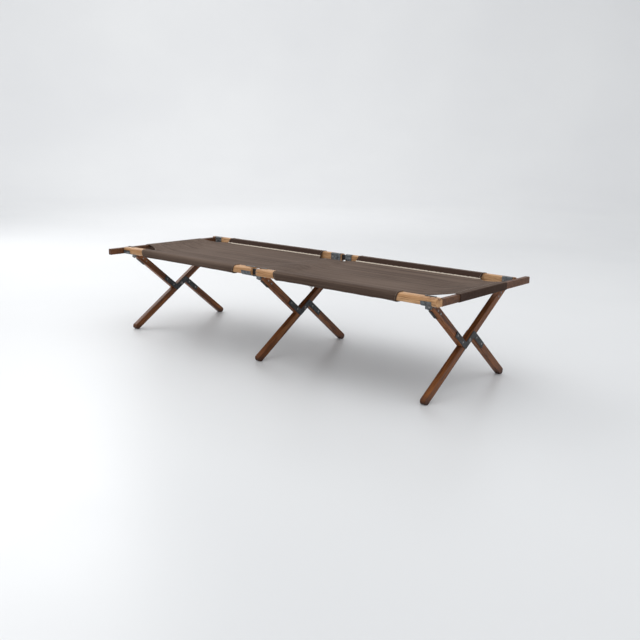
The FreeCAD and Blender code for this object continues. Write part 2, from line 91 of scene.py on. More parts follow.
class Finish:
    """A node material on Object coordinates, built up one node at a time."""

    def __init__(self, name, metallic=0.0):
        self.material = bpy.data.materials.new(name)
        self.material.use_nodes = True
        self.tree = self.material.node_tree
        self.shader = self.tree.nodes["Principled BSDF"]
        self.shader.inputs["Metallic"].default_value = metallic
        self.place = self.tree.nodes.new("ShaderNodeTexCoord").outputs["Object"]

    def link(self, out, into):
        self.tree.links.new(out, into)

    def stretch(self, scale, turn=(0, 0, 0), move=(0, 0, 0)):
        """Object coordinates, turned and stretched."""
        node = self.tree.nodes.new("ShaderNodeMapping")
        node.inputs["Scale"].default_value = scale
        node.inputs["Rotation"].default_value = turn
        node.inputs["Location"].default_value = move
        self.link(self.place, node.inputs["Vector"])
        return node.outputs["Vector"]

    def noise(self, where, detail=3.0, rough=0.55, bend=0.0):
        node = self.tree.nodes.new("ShaderNodeTexNoise")
        node.inputs["Scale"].default_value = 1.0
        node.inputs["Detail"].default_value = detail
        node.inputs["Roughness"].default_value = rough
        node.inputs["Distortion"].default_value = bend
        self.link(where, node.inputs["Vector"])
        return node.outputs["Fac"]

    def ramp(self, value, stops):
        """Stops are (position, colour) pairs; a colour may be one grey number."""
        node = self.tree.nodes.new("ShaderNodeValToRGB")
        while len(node.color_ramp.elements) < len(stops):
            node.color_ramp.elements.new(0.5)
        for element, (position, colour) in zip(node.color_ramp.elements, stops):
            element.position = position
            element.color = (colour,) * 3 + (1,) if isinstance(colour, float) else (*colour, 1)
        self.link(value, node.inputs["Fac"])
        return node.outputs["Color"]

    def mix(self, share, one, two):
        """Colour one, going over to colour two as share rises to 1."""
        node = self.tree.nodes.new("ShaderNodeMix")
        node.data_type = "RGBA"
        for value, socket in ((share, node.inputs[0]), (one, node.inputs[6]), (two, node.inputs[7])):
            if isinstance(value, bpy.types.NodeSocket):
                self.link(value, socket)
            elif isinstance(value, float):
                socket.default_value = value
            else:
                socket.default_value = (*value, 1)
        return node.outputs[2]

    def sum(self, how, one, two, clamp=False):
        """One arithmetic step between two values, such as ADD or MULTIPLY."""
        node = self.tree.nodes.new("ShaderNodeMath")
        node.operation = how
        node.use_clamp = clamp
        for value, socket in ((one, node.inputs[0]), (two, node.inputs[1])):
            if isinstance(value, bpy.types.NodeSocket):
                self.link(value, socket)
            else:
                socket.default_value = value
        return node.outputs[0]

    def axis(self, name):
        node = self.tree.nodes.new("ShaderNodeSeparateXYZ")
        self.link(self.place, node.inputs[0])
        return node.outputs[name]

    def bump(self, height, strength, distance):
        node = self.tree.nodes.new("ShaderNodeBump")
        node.inputs["Strength"].default_value = strength
        node.inputs["Distance"].default_value = distance
        self.link(height, node.inputs["Height"])
        self.link(node.outputs["Normal"], self.shader.inputs["Normal"])

    def colour(self, out):
        self.link(out, self.shader.inputs["Base Color"])

    def roughness(self, value, low, high):
        node = self.tree.nodes.new("ShaderNodeMapRange")
        node.inputs["To Min"].default_value = low
        node.inputs["To Max"].default_value = high
        self.link(value, node.inputs["Value"])
        self.link(node.outputs["Result"], self.shader.inputs["Roughness"])

    def on(self, *names):
        """Put this finish on CAD nodes."""
        for name in names:
            nodes[name].data.materials.clear()
            nodes[name].data.materials.append(self.material)


STAGE_FLAT = 8.0
STAGE_CURVE = 4.0
STAGE_CURVE_STEPS = 12
STAGE_TURN_STEPS = 72
FLOOR_DARK = (0.765, 0.765, 0.77)
FLOOR_LIGHT = (0.80, 0.80, 0.80)
profile = [(0.0, 0.0), (1.5, 0.0), (4.0, 0.0), (STAGE_FLAT, 0.0)]
for i in range(1, STAGE_CURVE_STEPS + 1):
    a = math.pi / 2 * i / STAGE_CURVE_STEPS
    profile.append((STAGE_FLAT + STAGE_CURVE * math.sin(a), STAGE_CURVE * (1 - math.cos(a))))
floor_shape = bmesh.new()
row = [floor_shape.verts.new((x, 0, z)) for x, z in profile]
for a, b in zip(row, row[1:]):
    floor_shape.edges.new((a, b))
bmesh.ops.spin(
    floor_shape, geom=floor_shape.verts[:] + floor_shape.edges[:], axis=(0, 0, 1), cent=(0, 0, 0),
    angle=math.tau, steps=STAGE_TURN_STEPS, use_merge=True
)
bmesh.ops.remove_doubles(floor_shape, verts=floor_shape.verts, dist=0.0001)
bmesh.ops.recalc_face_normals(floor_shape, faces=floor_shape.faces)
if min(floor_shape.faces, key=lambda f: f.calc_center_median().length).normal.z < 0:
    bmesh.ops.reverse_faces(floor_shape, faces=floor_shape.faces)
floor_finish = Finish("painted_floor")
floor_tone = floor_finish.noise(floor_finish.stretch((0.5, 0.5, 0.5)), detail=2)
floor_finish.colour(floor_finish.ramp(floor_tone, [(0.3, FLOOR_DARK), (0.7, FLOOR_LIGHT)]))
floor_finish.roughness(floor_finish.noise(floor_finish.stretch((3, 3, 3))), 0.30, 0.40)
floor = new_piece("floor", floor_shape, floor_finish.material)


def soft_light(name, at, size, power, towards):
    lamp = bpy.data.lights.new(name, "AREA")
    lamp.shape = "RECTANGLE"
    lamp.size, lamp.size_y = size
    lamp.energy = power
    holder = bpy.data.objects.new(name, lamp)
    holder.matrix_world = (
        Matrix.Translation(at) @ (Vector(towards) - Vector(at)).to_track_quat("-Z", "Y").to_matrix().to_4x4()
    )
    bpy.context.scene.collection.objects.link(holder)


soft_light("window_light", Vector((-4.6, 0.6, 3.2)), (3.2, 2.6), 92, (-0.4, 0, 0.2))
soft_light("ceiling_light", Vector((0.4, -0.6, 4.6)), (5.0, 4.0), 46, (0, 0, 0.2))
soft_light("wall_light", Vector((-4.6, 3.4, 3.9)), (4.0, 1.6), 105, (-9.0, 8.4, 1.2))

ROOM_COLOUR = (0.95, 0.975, 1.0)
ROOM_STRENGTH = 0.84
world = bpy.data.worlds.new("room")
world.use_nodes = True
world.node_tree.nodes["Background"].inputs["Color"].default_value = (*ROOM_COLOUR, 1)
world.node_tree.nodes["Background"].inputs["Strength"].default_value = ROOM_STRENGTH
bpy.context.scene.world = world


# ---------------------------------------------------------------- Side rails
# Each rail is two lengths of pale straight-grained hardwood, planed to a D section with the round side out,
# varnished, and worn through to brown at the ends. They hinge together at the middle of the bed.
def wood(name, light, dark, pore, turn=(0, 0, 0)):
    """Straight-grained wood whose grain runs along X after the turn."""
    finish = Finish(name)
    bands = finish.noise(finish.stretch((1.6, 55, 55), turn), detail=4, rough=0.6, bend=0.6)
    pores = finish.noise(finish.stretch((14, 620, 620), turn), detail=2)
    blotches = finish.noise(finish.stretch((5, 9, 9), turn), detail=3)
    palest = tuple(min(1, c * 1.12) for c in light)
    colour = finish.ramp(bands, [(0.28, dark), (0.55, light), (0.8, palest)])
    colour = finish.mix(finish.ramp(pores, [(0.35, 1.0), (0.5, 0.0)]), colour, pore)
    colour = finish.mix(finish.ramp(blotches, [(0.55, 0.0), (0.8, 0.45)]), colour, dark)
    finish.bump(pores, 0.25, 0.0004)
    finish.roughness(blotches, 0.38, 0.55)
    finish.shader.inputs["Specular IOR Level"].default_value = 0.22
    finish.tint = colour
    return finish


RAIL_LIGHT = (0.64, 0.375, 0.19)
RAIL_DARK = (0.42, 0.205, 0.08)
RAIL_PORE = (0.27, 0.125, 0.05)
KNOT_BROWN = (0.17, 0.075, 0.03)
STAIN_BROWN = (0.30, 0.13, 0.05)
CHIP_BROWN = (0.075, 0.028, 0.012)
RAIL_WIDE = 0.038
BARE_END = 0.885
BARE_FADE = 0.03
rail_wood = wood("varnished_rail_wood", RAIL_LIGHT, RAIL_DARK, RAIL_PORE)
rail_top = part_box("near_left_rail")[1].z
rail_out = -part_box("near_left_rail")[0].y
rail_in = rail_out - RAIL_WIDE


def ramp_share(finish, value, start, end):
    """0 at start, 1 at end, and level beyond them."""
    return finish.sum("DIVIDE", finish.sum("SUBTRACT", value, start), end - start, clamp=True)


from_middle = rail_wood.sum("ABSOLUTE", rail_wood.axis("X"), 0.0)
across_bed = rail_wood.sum("ABSOLUTE", rail_wood.axis("Y"), 0.0)
near_end = ramp_share(rail_wood, from_middle, BARE_END, BARE_END + BARE_FADE)
inner_top = ramp_share(rail_wood, across_bed, rail_in + 0.037, rail_in + 0.024)
upper_face = ramp_share(rail_wood, rail_wood.axis("Z"), rail_top - 0.011, rail_top - 0.004)
top_edge = rail_wood.sum("MULTIPLY", inner_top, upper_face)
chips = rail_wood.noise(rail_wood.stretch((55, 110, 110)), detail=5)
chips = rail_wood.ramp(chips, [(0.49, 0.0), (0.55, 0.92)])
chips = rail_wood.sum("MULTIPLY", chips, rail_wood.sum("MULTIPLY", near_end, top_edge))
stains = rail_wood.noise(rail_wood.stretch((40, 60, 60), move=(5, 1, 4)), detail=3)
stains = rail_wood.ramp(stains, [(0.5, 0.0), (0.72, 0.55)])
stains = rail_wood.sum("MULTIPLY", stains, near_end)
knots = rail_wood.noise(rail_wood.stretch((7, 26, 26)), detail=1)
knots = rail_wood.ramp(knots, [(0.71, 0.0), (0.76, 0.8)])
worn = rail_wood.mix(knots, rail_wood.tint, KNOT_BROWN)
worn = rail_wood.mix(stains, worn, STAIN_BROWN)
rail_wood.colour(rail_wood.mix(chips, worn, CHIP_BROWN))
rail_wood.on("near_left_rail", "near_right_rail", "far_left_rail", "far_right_rail")


# ---------------------------------------------------------------- Rail hinges, brackets, swivels and straps
# Pressed steel. The brackets and swivels were galvanised and have gone a dull mottled grey; the links, straps
# and crossing plates are blackened. Screws and riveted studs hold them.
def steel(name, light, dark, rust, rough, mottle):
    finish = Finish(name, metallic=0.75)
    patches = finish.noise(finish.stretch((mottle,) * 3), detail=5, rough=0.65)
    grime = finish.noise(finish.stretch((22, 22, 22), move=(3, 1, 2)), detail=3)
    rubbed = tuple(c * 1.3 for c in light)
    colour = finish.ramp(patches, [(0.32, dark), (0.52, light), (0.72, rubbed)])
    finish.colour(finish.mix(finish.ramp(grime, [(0.56, 0.0), (0.74, 0.6)]), colour, rust))
    finish.bump(finish.noise(finish.stretch((260, 260, 260)), detail=2), 0.3, 0.0003)
    finish.roughness(patches, *rough)
    return finish


zinc = steel(
    "dull_galvanised_steel", light=(0.155, 0.168, 0.175), dark=(0.045, 0.05, 0.053),
    rust=(0.09, 0.055, 0.035), rough=(0.34, 0.58), mottle=70.0
)
black = steel(
    "blackened_steel", light=(0.055, 0.057, 0.06), dark=(0.016, 0.016, 0.017),
    rust=(0.06, 0.035, 0.024), rough=(0.36, 0.6), mottle=95.0
)
bright = steel(
    "rubbed_rivet_steel", light=(0.26, 0.255, 0.25), dark=(0.10, 0.098, 0.095),
    rust=(0.09, 0.06, 0.04), rough=(0.3, 0.5), mottle=140.0
)
for side in ("near", "far"):
    zinc.on(side + "_left_bracket", side + "_mid_bracket", side + "_right_bracket", side + "_hinge_plate")
    black.on(side + "_rail_link")
    bright.on(side + "_link_pins", side + "_left_rail_screws", side + "_right_rail_screws")
    for place in ("left", "mid", "right"):
        zinc.on(place + "_" + side + "_swivel")
for place in ("left", "mid", "right"):
    black.on(place + "_split_leg_strap", place + "_through_leg_strap", place + "_cross_plates")
    bright.on(place + "_split_leg_rivets", place + "_through_leg_rivets")


# ---------------------------------------------------------------- Leg frames
# Each leg is a straight red-brown stained hardwood bar with eased edges and rounded ends, scuffed where it
# stands on the ground. The through leg leans one way, the two halves of the split leg the other.
LEG_PALEST = (0.42, 0.17, 0.052)
LEG_LIGHT = (0.26, 0.090, 0.026)
LEG_DARK = (0.075, 0.024, 0.010)
LEG_PORE = (0.035, 0.012, 0.007)
GROUND_DIRT = (0.05, 0.018, 0.010)
GROUND_WEAR = 0.030
LEG_END_RISE = 0.024
LEG_END_REACH = 0.02


def leg_lean(node, rising):
    """The turn about X that lays the grain along a leg; rising legs go up towards +Y.

    The rounded ends make a leg's box larger than its slope alone would, so that much is taken off.
    """
    low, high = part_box(node)
    slope = math.atan2(high.z - low.z - LEG_END_RISE, high.y - low.y - LEG_END_REACH)
    return slope if rising else -slope


for place, seed in (("left", 3.1), ("mid", 7.7), ("right", 12.9)):
    for node, rising in (("_through_leg", True), ("_split_leg_upper", False), ("_split_leg_lower", False)):
        lean = leg_lean(place + node, rising)
        # The leg is turned until its grain runs along Y, then the noise is stretched along Y.
        finish = Finish("stained_" + place + node)
        turned = finish.tree.nodes.new("ShaderNodeVectorRotate")
        turned.rotation_type = "X_AXIS"
        turned.inputs["Angle"].default_value = -lean
        finish.link(finish.place, turned.inputs["Vector"])
        finish.place = turned.outputs["Vector"]
        bands = finish.stretch((60, 2.2, 60), move=(seed, 0, seed))
        bands = finish.noise(bands, detail=4, rough=0.6, bend=0.6)
        pores = finish.noise(finish.stretch((600, 13, 600), move=(0, seed, 0)), detail=2)
        blotches = finish.noise(finish.stretch((9, 6, 9), move=(seed, seed, 0)), detail=3)
        colour = finish.ramp(bands, [(0.3, LEG_DARK), (0.55, LEG_LIGHT), (0.78, LEG_PALEST)])
        colour = finish.mix(finish.ramp(pores, [(0.36, 0.85), (0.5, 0.0)]), colour, LEG_PORE)
        colour = finish.mix(finish.ramp(blotches, [(0.52, 0.0), (0.75, 0.5)]), colour, LEG_DARK)
        object_place = finish.tree.nodes.new("ShaderNodeTexCoord")
        height = finish.tree.nodes.new("ShaderNodeSeparateXYZ")
        finish.link(object_place.outputs["Object"], height.inputs[0])
        lifted = finish.sum("DIVIDE", height.outputs["Z"], GROUND_WEAR)
        uneven = finish.sum("ADD", 0.9, finish.sum("MULTIPLY", bands, 0.5))
        scuff = finish.sum("SUBTRACT", uneven, lifted, clamp=True)
        finish.colour(finish.mix(scuff, colour, GROUND_DIRT))
        finish.bump(pores, 0.3, 0.0004)
        finish.roughness(blotches, 0.3, 0.5)
        finish.shader.inputs["Specular IOR Level"].default_value = 0.2
        finish.on(place + node)


# ---------------------------------------------------------------- End bars
# A plain rectangular brown bar across each end: its dowel goes into one rail, and its free end runs out past
# the other rail. The canvas hem holds it.
BAR_LIGHT = (0.165, 0.068, 0.029)
BAR_DARK = (0.065, 0.025, 0.012)
BAR_PORE = (0.04, 0.016, 0.01)
bar_wood = wood("stained_bar_wood", BAR_LIGHT, BAR_DARK, BAR_PORE, turn=(0, 0, math.pi / 2))
bar_wood.colour(bar_wood.tint)
bar_wood.on("left_end_bar", "right_end_bar")


# ---------------------------------------------------------------- Canvas sleeves
# Heavy cotton duck. The long edges of the bed are folded round the rails and sewn back to the bed 20 mm
# inside the wood, which leaves an open-ended sleeve round each rail length. Each end is turned and hemmed.
WEAVE_RADIAN = 0.0016
WAVE_TEXTURE_RATE = 20
CLOTH = 0.0012
# Painted shade colour for the duck: the sleeves' inner sides and the hem round each end bar are mixed towards
# it, and the sleeves' outer sides are mixed towards it near their lower edge.
PAINTED_SHADE_DUCK = (0.036, 0.017, 0.011)


def duck(name, base, thread, shade, painted_shade):
    """Cotton duck: plain weave with rubbed streaks along the bed.

    The last argument gives how much painted shade each point gets. The weave's ripple turns one radian in
    WEAVE_RADIAN.
    """
    finish = Finish(name)
    streaks = finish.noise(finish.stretch((0.55, 120, 120)), detail=4, rough=0.66)
    fine = finish.noise(finish.stretch((4, 520, 520), move=(4, 2, 1)), detail=2)
    wide = finish.noise(finish.stretch((0.35, 38, 38), move=(2, 2, 7)), detail=3, rough=0.6)
    clouds = finish.noise(finish.stretch((1.8, 4, 4), move=(1, 6, 3)), detail=3)
    colour = finish.ramp(streaks, [(0.26, shade), (0.5, base), (0.76, thread)])
    colour = finish.mix(finish.ramp(fine, [(0.56, 0.0), (0.72, 0.55)]), colour, thread)
    colour = finish.mix(finish.ramp(wide, [(0.50, 0.0), (0.68, 0.5)]), colour, shade)
    colour = finish.mix(finish.ramp(clouds, [(0.42, 0.0), (0.72, 0.38)]), colour, thread)
    # Painted shade: the colour is mixed towards the painted shade colour as far as the mask from the last
    # argument reaches.
    painted_shade_share = painted_shade(finish)
    finish.colour(finish.mix(finish.sum("MULTIPLY", painted_shade_share, 0.86), colour, PAINTED_SHADE_DUCK))
    weave = []
    for direction, move in (("X", 0.0), ("Y", 0.4)):
        node = finish.tree.nodes.new("ShaderNodeTexWave")
        node.bands_direction = direction
        node.inputs["Scale"].default_value = 1 / (WEAVE_RADIAN * WAVE_TEXTURE_RATE)
        node.inputs["Distortion"].default_value = 0.6
        node.inputs["Phase Offset"].default_value = move
        finish.link(finish.place, node.inputs["Vector"])
        weave.append(node.outputs["Fac"])
    finish.bump(finish.sum("ADD", finish.sum("MULTIPLY", weave[0], weave[1]), streaks), 0.45, 0.0006)
    finish.shader.inputs["Sheen Weight"].default_value = 0.02
    finish.shader.inputs["Sheen Roughness"].default_value = 0.5
    finish.shader.inputs["Specular IOR Level"].default_value = 0.12
    finish.roughness(fine, 0.8, 0.95)
    return finish


RAIL_DEEP = 0.034
RAIL_ROUND = 0.013
RAIL_SEAM = 0.020
SEAM_Y = rail_in - RAIL_SEAM
SEAM_Z = rail_top - 0.0230
SIDES = (("near", -1), ("far", 1))
sleeve_span = {}
for side, _ in SIDES:
    for half in ("left", "right"):
        low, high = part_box(side + "_" + half + "_canvas_sleeve")
        sleeve_span[side, half] = (low.x, high.x)


def sleeve_painted_shade(finish):
    """Painted shade on the inner side, and the outer side mixed darker towards its lower edge."""
    # Painted shade on the inner side of the sleeve.
    inside = finish.sum("ABSOLUTE", finish.axis("Y"), 0.0)
    inside = ramp_share(finish, inside, rail_in + 0.004, rail_in + 0.0005)
    # Darker towards the lower edge of the outer side.
    darker_low = ramp_share(finish, finish.axis("Z"), rail_top - 0.004, rail_top - RAIL_DEEP)
    return finish.sum("MAXIMUM", inside, finish.sum("MULTIPLY", darker_low, 0.55))


DUCK_BASE = (0.100, 0.066, 0.049)
DUCK_THREAD = (0.185, 0.132, 0.102)
DUCK_SHADE = (0.036, 0.021, 0.015)
sleeve_duck = duck("sleeve_duck", DUCK_BASE, DUCK_THREAD, DUCK_SHADE, sleeve_painted_shade)
SLEEVE_OFF = 0.0013
SLEEVE_ARC_STEPS = 7


def sleeve_outline(slack):
    """Points round the sleeve, from the seam over the top and back under.

    Each is how far inwards from the rail's outer face and how far up from its top.
    """
    off = SLEEVE_OFF
    r = RAIL_ROUND + off
    seam_up = SEAM_Z - rail_top
    points = [(RAIL_WIDE + RAIL_SEAM, seam_up + 0.0008), (RAIL_WIDE + 0.011, seam_up * 0.53)]
    points += [(RAIL_WIDE + 0.0012, -0.0022), (RAIL_WIDE - 0.0004, 0.0005), (RAIL_WIDE - 0.003, off)]
    for i in range(SLEEVE_ARC_STEPS + 1):
        a = math.pi / 2 * i / SLEEVE_ARC_STEPS
        points.append((RAIL_ROUND - r * math.sin(a), -RAIL_ROUND + r * math.cos(a)))
    for i in range(SLEEVE_ARC_STEPS + 1):
        a = math.pi / 2 * i / SLEEVE_ARC_STEPS
        low = -RAIL_DEEP + RAIL_ROUND - r * math.sin(a) - slack * math.sin(a)
        points.append((RAIL_ROUND - r * math.cos(a), low))
    points.append((RAIL_WIDE - 0.008, -RAIL_DEEP - off - slack))
    points.append((RAIL_WIDE + 0.002, -RAIL_DEEP - slack * 0.6))
    points.append((RAIL_WIDE + 0.010, -0.0300))
    points.append((RAIL_WIDE + RAIL_SEAM, seam_up - 0.0008))
    return points


def along_path(points, share):
    """The point at a share of a path's length."""
    lengths = [math.dist(a, b) for a, b in zip(points, points[1:])]
    left = share * sum(lengths)
    for a, b, length in zip(points, points[1:], lengths):
        if left <= length:
            return tuple(p + (q - p) * left / length for p, q in zip(a, b))
        left -= length
    return points[-1]


def smooth_step(value):
    value = min(1.0, max(0.0, value))
    return value * value * (3 - 2 * value)


def ripple(x, y, seed):
    return noise.noise(Vector((x, y, seed)))


SLEEVE_SLANT = 0.010
SLEEVE_HEM = 0.010
HEM_THICKER = 0.0007
SLACK_USUAL = 0.0020
SLACK_VARIES = 0.0016
SLACK_AT_ENDS = 0.0014
SLACK_LEAST = 0.0004
WRINKLE = 0.0007
FINE_WRINKLE = 0.0004


def sleeve_point(side, half, x, share_round):
    """One point of a sleeve's skin; x runs along the rail and share_round goes round it from the seam."""
    start, end = sleeve_span[side, half]
    s = -1 if side == "near" else 1
    seed = 1 + (side == "far") * 2 + (half == "right")
    end_distance = min(x - start, end - x)
    slack = SLACK_USUAL + SLACK_VARIES * ripple(x * 9, 0, seed)
    slack += SLACK_AT_ENDS * (1 - smooth_step(end_distance / 0.05))
    inwards, up = along_path(sleeve_outline(max(SLACK_LEAST, slack)), share_round)
    lift = WRINKLE * ripple(x * 22, share_round * 6, seed + 10)
    lift += FINE_WRINKLE * ripple(x * 80, share_round * 14, seed)
    lift += HEM_THICKER * (1 - smooth_step((end_distance - SLEEVE_HEM + 0.001) / 0.002))
    lift = max(0.0, lift) * smooth_step(min(share_round, 1 - share_round) / 0.06)
    side_push = (RAIL_WIDE / 2 - inwards) / RAIL_WIDE * 1.6
    under = smooth_step((share_round - 0.4) / 0.3) * (1 - smooth_step((share_round - 0.85) / 0.15))
    slant = SLEEVE_SLANT * under * (1 - smooth_step(end_distance / 0.12))
    x += slant if x < (start + end) / 2 else -slant
    up_push = 1 if share_round < 0.5 else -1
    return Vector((x, s * (rail_out - inwards + lift * side_push), rail_top + up + lift * up_push))


def point_outwards(shape):
    """Make an open sheet's faces look away from the wood or up."""
    bmesh.ops.recalc_face_normals(shape, faces=shape.faces)
    middle = rail_top - RAIL_DEEP / 2
    outward = sum((f.calc_center_median().z - middle) * f.normal.z * f.calc_area() for f in shape.faces)
    if outward < 0:
        bmesh.ops.reverse_faces(shape, faces=shape.faces)


def cloth_skin(piece, thickness):
    skin = piece.modifiers.new("cloth_thickness", "SOLIDIFY")
    skin.thickness = thickness
    skin.offset = 0.0


for side, _ in SIDES:
    for half in ("left", "right"):
        start, end = sleeve_span[side, half]
        shape = bmesh.new()
        bmesh.ops.create_grid(shape, x_segments=200, y_segments=60, size=0.5)
        for vertex in shape.verts:
            x = start + (end - start) * (vertex.co.x + 0.5)
            vertex.co = sleeve_point(side, half, x, vertex.co.y + 0.5)
        point_outwards(shape)
        area = sum(f.calc_area() for f in shape.faces)
        sleeve = new_piece(side + "_" + half + "_sleeve", shape, sleeve_duck.material)
        cloth_skin(sleeve, CLOTH)
        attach(sleeve, side + "_" + half + "_rail")
        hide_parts(side + "_" + half + "_canvas_sleeve")


# ---------------------------------------------------------------- Canvas bed
# The bed is one cloth, modelled in three along its length so that it can fold at the rail hinges. It is
# stretched flat below the rail tops, and each end turns round the end bar in a sewn hem.
HINGE_X = 0.020
HINGE_Z = 0.4224
HINGE_INSET = 0.058
BAR_SKIN = 0.0016
bar_low, bar_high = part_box("right_end_bar")
HEM_FROM = bar_low.x - BAR_SKIN
HEM_TOP = bar_high.z + BAR_SKIN
HEM_Y = (-0.178, 0.205)
BED_SAG = 0.0045
CORNER_CREASE = 0.0013
RISE_LENGTH = 0.19
HINGE_BLEND = 0.10


def bed_hem_painted_shade(finish):
    """Painted shade on the hem round the end bar."""
    # Painted shade on the hem's outer end, beyond the end bar.
    out = finish.sum("ABSOLUTE", finish.axis("X"), 0.0)
    return finish.sum("MULTIPLY", ramp_share(finish, out, bar_high.x - 0.005, bar_high.x + 0.0005), 0.9)


bed_duck = duck("bed_duck", DUCK_BASE, DUCK_THREAD, DUCK_SHADE, bed_hem_painted_shade)


def hem_outline():
    """Round the end bar from its top inner edge, over, down and back: (x, z)."""
    x0, x1 = HEM_FROM, bar_high.x + BAR_SKIN
    z0, z1 = bar_low.z - BAR_SKIN, HEM_TOP
    r = 0.004
    points = [(x0, z1), (x1 - r, z1)]
    for cx, cz, start in ((x1 - r, z1 - r, 90), (x1 - r, z0 + r, 0), (x0 + r, z0 + r, -90)):
        for i in range(5):
            a = math.radians(start - 90 * i / 4)
            points.append((cx + r * math.cos(a), cz + r * math.sin(a)))
    points += [(x0, z0 + 0.014), (x0 - 0.005, z0 + 0.020), (x0 - 0.016, z0 + 0.0215)]
    return points


def panel_edge(x, side, half):
    """How far across the bed the cloth reaches at x, measured along the half's own outward X."""
    start, end = sorted(abs(v) for v in sleeve_span[side, half])
    if x < start:
        return SEAM_Y - HINGE_INSET * smooth_step((start - x) / 0.045)
    if x <= end:
        return SEAM_Y
    corner = min(1.0, (x - end) / (HEM_FROM - end))
    hem = -HEM_Y[0] if side == "near" else HEM_Y[1]
    return SEAM_Y + (hem - SEAM_Y) * (1 - (1 - corner) ** 2.4)


def panel_height(x, y, seed):
    """The cloth's height: held at the seams and the hinge, sagging between, and lifted to the end bar."""
    across = min(1.0, abs(y) / SEAM_Y)
    sag = -BED_SAG * (1 - across ** 2) * smooth_step((x - HINGE_X) / 0.16)
    pull = 0.0015 * ripple(x * 2.2, y * 13, seed) + 0.0006 * ripple(x * 6, y * 46, seed + 5)
    pull += 0.0009 * ripple(x * 16, y * 3.2, seed + 9) * (1 - across)
    pull *= smooth_step((x - HINGE_X) / HINGE_BLEND) * smooth_step((1 - across) / 0.12)
    rise = min(1.0, max(0.0, (x - HEM_FROM + RISE_LENGTH) / RISE_LENGTH))
    rise = rise * (0.35 + 0.65 * rise)
    creases = CORNER_CREASE * math.sin(x * 70 + abs(y) * 190)
    creases = creases * smooth_step((across - 0.35) / 0.3) * math.sin(math.pi * rise)
    z = HINGE_Z + (SEAM_Z - HINGE_Z) * smooth_step((x - HINGE_X) / HINGE_BLEND) + sag + pull
    return z + (HEM_TOP - z) * rise + creases


PANEL_STEPS = 200
HEM_STEPS = 26
PANEL_SEED = {"left": 21, "right": 34}
for half, end in (("left", -1), ("right", 1)):
    seed = PANEL_SEED[half]
    shape = bmesh.new()
    bmesh.ops.create_grid(shape, x_segments=PANEL_STEPS + HEM_STEPS, y_segments=110, size=0.5)
    loop = hem_outline()
    for vertex in shape.verts:
        step = (vertex.co.x + 0.5) * (PANEL_STEPS + HEM_STEPS)
        share = vertex.co.y + 0.5
        if step <= PANEL_STEPS:
            x = HINGE_X + (HEM_FROM - HINGE_X) * step / PANEL_STEPS
            near = -panel_edge(x, "near", half)
            far = panel_edge(x, "far", half)
            y = near + (far - near) * share
            vertex.co = Vector((end * x, y, panel_height(x, y, seed)))
        else:
            x, z = along_path(loop, (step - PANEL_STEPS) / HEM_STEPS)
            y = HEM_Y[0] + (HEM_Y[1] - HEM_Y[0]) * share
            swell = 0.0006 * abs(ripple(x * 30, y * 26, seed))
            vertex.co = Vector((end * (x + swell), y, z))
    bmesh.ops.recalc_face_normals(shape, faces=shape.faces)
    if sum(f.normal.z * f.calc_area() for f in shape.faces) < 0:
        bmesh.ops.reverse_faces(shape, faces=shape.faces)
    area = sum(f.calc_area() for f in shape.faces)
    bed = new_piece(half + "_bed_canvas", shape, bed_duck.material)
    cloth_skin(bed, CLOTH)
    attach(bed, "near_" + half + "_rail")
    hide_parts(half + "_canvas_panel")
    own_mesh(bed)

shape = bmesh.new()
bmesh.ops.create_grid(shape, x_segments=10, y_segments=110, size=0.5)
reach = SEAM_Y - HINGE_INSET
for vertex in shape.verts:
    vertex.co = Vector((vertex.co.x * 2 * (HINGE_X + 0.0002), vertex.co.y * 2 * reach, HINGE_Z))
middle = new_piece("middle_bed_canvas", shape, bed_duck.material)
cloth_skin(middle, CLOTH)
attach(middle, "near_rail_link")
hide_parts("middle_canvas_panel")
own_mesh(middle)


# ---------------------------------------------------------------- Seams
# The sleeves are closed by a row of pale waxed-thread stitches beside a frayed selvedge, their open ends and
# the bed's free edges are turned under and stitched, and a second row holds the hem round each end bar.
THREAD_PITCH = 0.0062
STITCH_SIZE = (0.0043, 0.0012, 0.0010)
STITCH_PROUD = 0.0006
THREAD_DARK = (0.30, 0.24, 0.18)
THREAD_LIGHT = (0.46, 0.39, 0.31)
FRAY_DARK = (0.26, 0.20, 0.155)
FRAY_LIGHT = (0.62, 0.53, 0.43)
thread = Finish("waxed_thread")
twist = thread.noise(thread.stretch((300, 300, 300)))
thread.colour(thread.ramp(twist, [(0.3, THREAD_DARK), (0.7, THREAD_LIGHT)]))
thread.roughness(thread.noise(thread.stretch((90, 90, 90))), 0.6, 0.8)
stitch_shape = bmesh.new()
bmesh.ops.create_icosphere(stitch_shape, subdivisions=1, radius=0.5)
bmesh.ops.scale(stitch_shape, vec=STITCH_SIZE, verts=stitch_shape.verts)
stitch = bpy.data.meshes.new("one_stitch")
stitch_shape.to_mesh(stitch)
stitch_shape.free()


def stitch_row(name, path):
    """Lay stitches along a path of points, THREAD_PITCH apart."""
    shape = bmesh.new()
    travelled = 0.0
    next_at = THREAD_PITCH / 2
    for a, b in zip(path, path[1:]):
        length = (b - a).length
        while next_at <= travelled + length:
            turn = (b - a).to_track_quat("X", "Z").to_matrix().to_4x4()
            laid = stitch.copy()
            laid.transform(Matrix.Translation(a.lerp(b, (next_at - travelled) / length)) @ turn)
            shape.from_mesh(laid)
            bpy.data.meshes.remove(laid)
            next_at += THREAD_PITCH
        travelled += length
    row = new_piece(name, shape, thread.material)
    return row


fray = Finish("frayed_duck_edge")
fluff = fray.noise(fray.stretch((160, 700, 700)), detail=4)
fray.colour(fray.ramp(fluff, [(0.30, FRAY_DARK), (0.55, FRAY_LIGHT)]))
fray.roughness(fray.noise(fray.stretch((90, 90, 90))), 0.8, 0.95)

